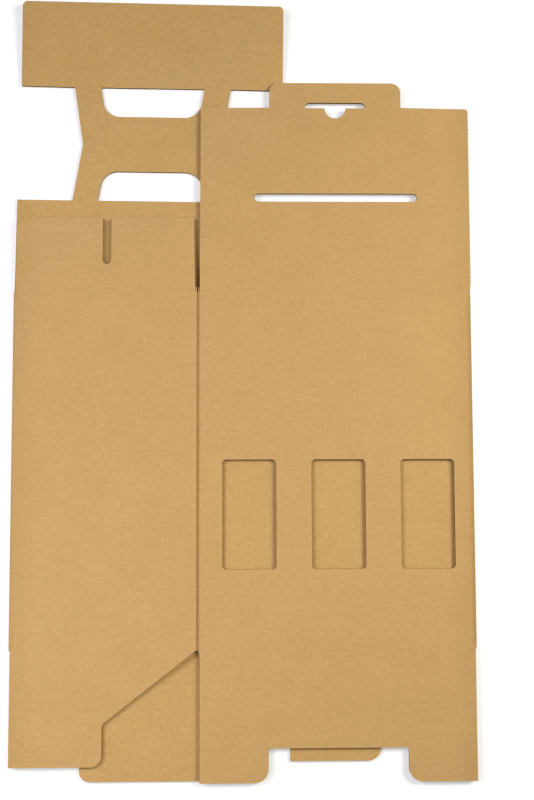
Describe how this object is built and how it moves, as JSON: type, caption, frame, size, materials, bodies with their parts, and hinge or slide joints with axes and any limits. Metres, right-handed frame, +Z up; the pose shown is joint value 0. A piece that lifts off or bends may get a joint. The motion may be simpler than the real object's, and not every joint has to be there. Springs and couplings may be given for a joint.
{
  "type": "six-bottle carrier box",
  "caption": "Corrugated cardboard bottle carrier box, glued and folded flat, with hinged lid and flaps, a fold-up handle strip and windows in its front.",
  "frame": {"origin": "under the middle of the flat outline, on the face it rests on", "axes": "+Y along the walls' height towards the lid, +X from the left side to the front, +Z up"},
  "size_m": [0.427, 0.7282, 0.0098],
  "materials": {
    "kraft_board": "unprinted brown kraft liner, matt"
  },
  "bodies": {
    "sleeve": {"sleeve": "kraft_board"},
    "lid": {"lid": "kraft_board"},
    "side_top_flap": {"side_top_flap": "kraft_board"},
    "side_bottom_flap": {"side_bottom_flap": "kraft_board"},
    "front_bottom_flap": {"front_bottom_flap": "kraft_board"}
  },
  "joints": [
    {"name": "lid_fold", "type": "hinge", "parent": "sleeve", "child": "lid", "pos_m": [0.0865, 0.08483, 0.0068], "axis": [1, 0, 0], "range_deg": [0, 172]},
    {"name": "side_top_fold", "type": "hinge", "parent": "sleeve", "child": "side_top_flap", "pos_m": [-0.12775, 0.08483, 0.00827], "axis": [0.9998, 0, 0.0178], "range_deg": [0, 172]},
    {"name": "side_bottom_fold", "type": "hinge", "parent": "sleeve", "child": "side_bottom_flap", "pos_m": [-0.12775, -0.24537, 0.00827], "axis": [-0.9998, 0, -0.0178], "range_deg": [0, 172]},
    {"name": "front_bottom_fold", "type": "hinge", "parent": "sleeve", "child": "front_bottom_flap", "pos_m": [0.08575, -0.24537, 0.0068], "axis": [-1, 0, 0], "range_deg": [0, 172]}
  ]
}
